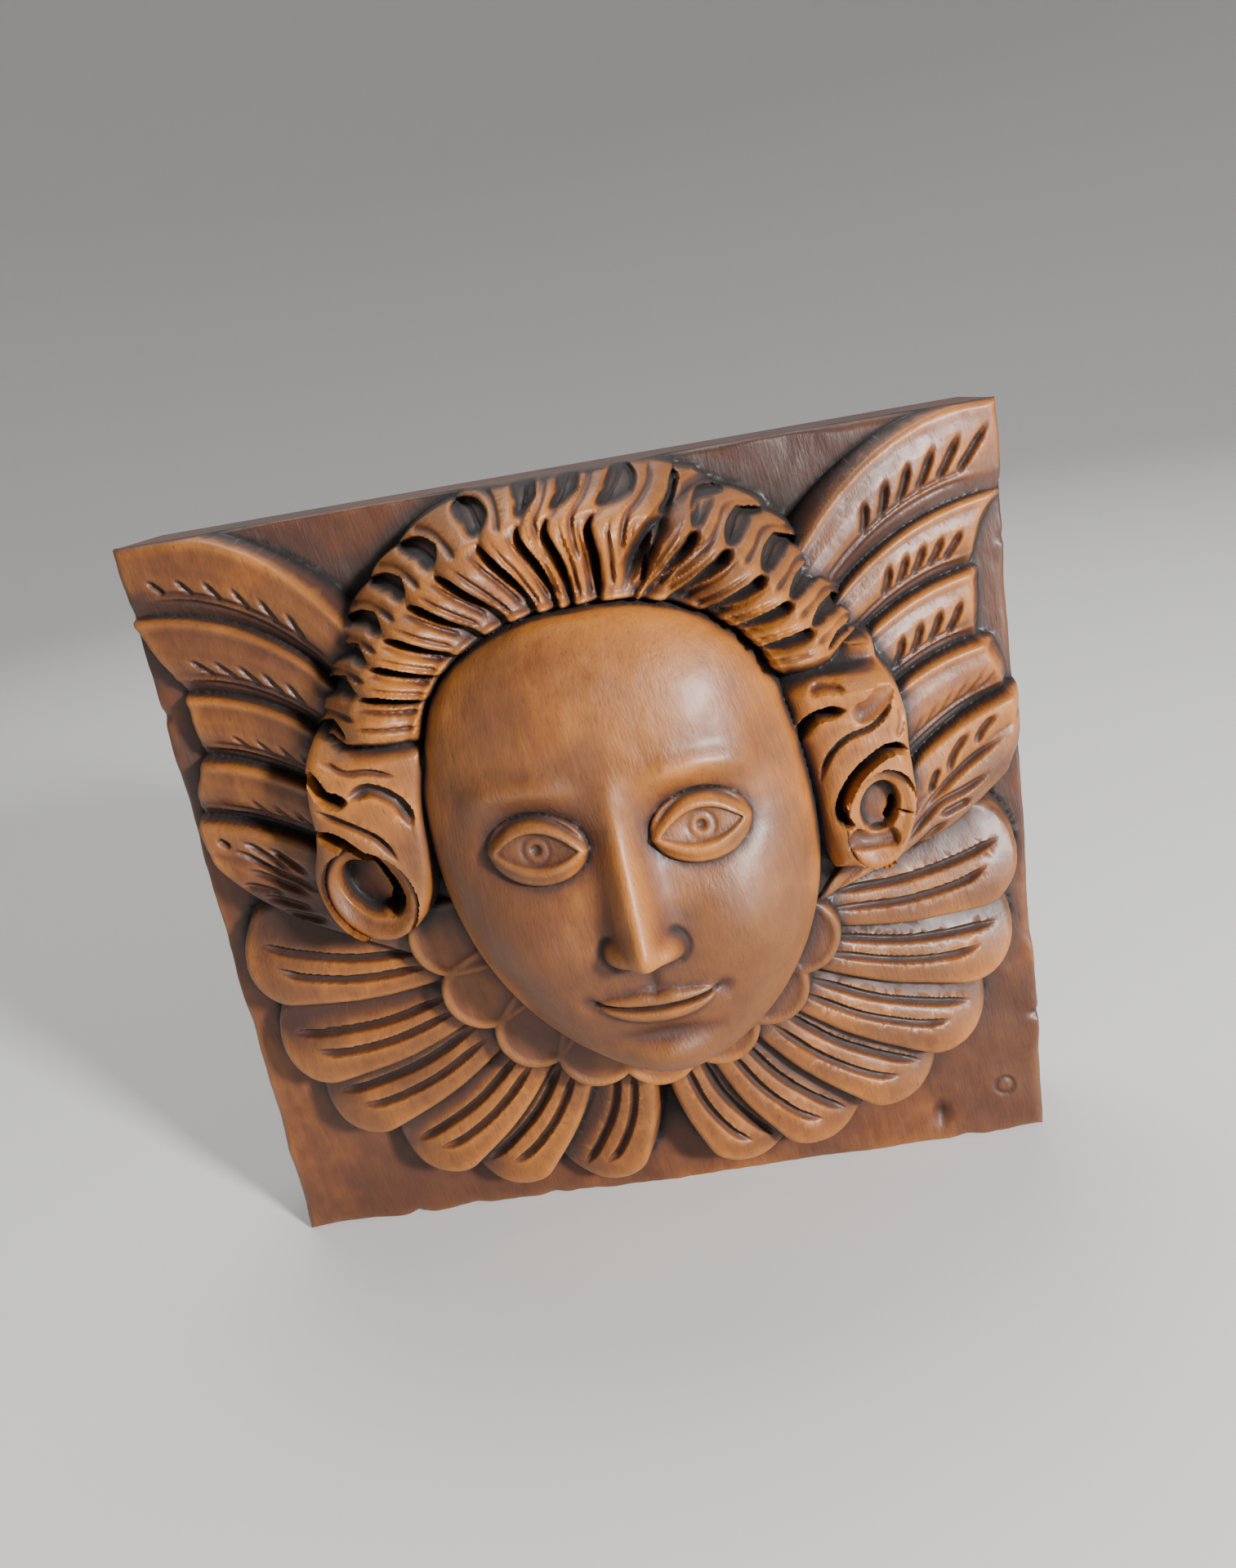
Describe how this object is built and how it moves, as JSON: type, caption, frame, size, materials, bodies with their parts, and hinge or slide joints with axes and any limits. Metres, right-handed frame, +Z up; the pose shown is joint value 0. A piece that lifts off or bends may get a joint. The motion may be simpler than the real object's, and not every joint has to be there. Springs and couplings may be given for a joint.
{
  "type": "carved wood relief",
  "caption": "Small square wooden block carved in high relief with a winged cherub's head over a ruff of feathers, to hang or fix flat on a wall.",
  "frame": {"origin": "centre of the flat back face, where the block lies against a wall", "axes": "+Z up the block, +Y out of its back into the wall, so the carving faces -Y, +X to the viewer's right"},
  "size_m": [0.15, 0.0696, 0.14],
  "materials": {
    "waxed_wood": "stained dark brown and waxed, glossy on the high places and nearly black in the cuts"
  },
  "bodies": {
    "root": {"carved_relief": "waxed_wood"}
  },
  "joints": []
}
